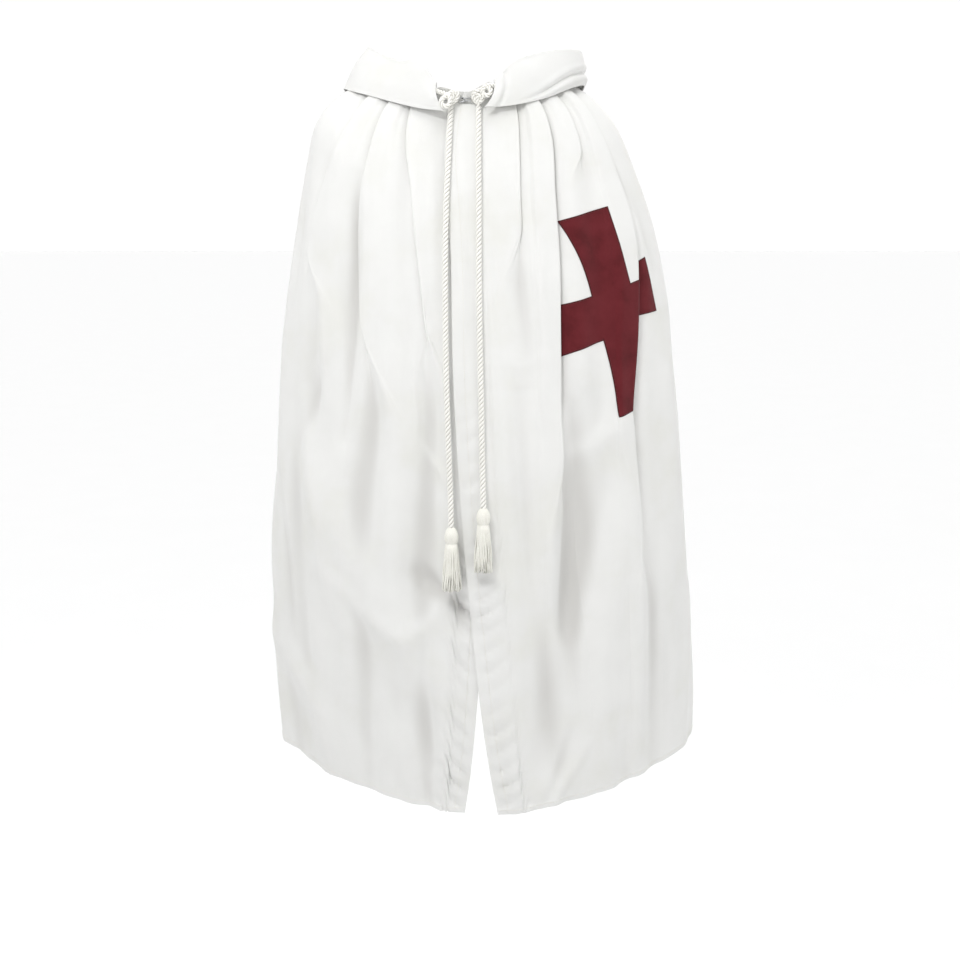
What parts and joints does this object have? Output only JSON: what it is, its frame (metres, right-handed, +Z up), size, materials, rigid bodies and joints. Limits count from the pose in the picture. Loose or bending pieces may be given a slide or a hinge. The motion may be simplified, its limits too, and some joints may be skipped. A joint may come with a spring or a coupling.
{
  "type": "pleated cape mantle",
  "caption": "Long pleated cape with a turned-down collar, neck band, flared cross applique, hook and eye, and tasselled cords.",
  "frame": {"origin": "middle of the neck opening, level with the wearer's shoulders where the cloth rests", "axes": "+Z up, the front faces -Y, +X to the wearer's left"},
  "size_m": [0.7654, 0.5777, 1.2266],
  "materials": {
    "cloth": "matt woven white cotton",
    "red_cloth": "dark red woven cotton with a slight sheen",
    "cord": "twisted white rayon",
    "steel": "plated wire"
  },
  "bodies": {
    "root": {"left_front": "cloth", "right_front": "cloth", "back": "cloth", "collar": "cloth", "neck_band": "cloth", "cross": "red_cloth", "left_cord": "cord", "right_cord": "cord", "left_loop": "cord", "right_loop": "cord", "left_tassel": "cord", "right_tassel": "cord", "eye": "steel", "hook": "steel"}
  },
  "joints": []
}
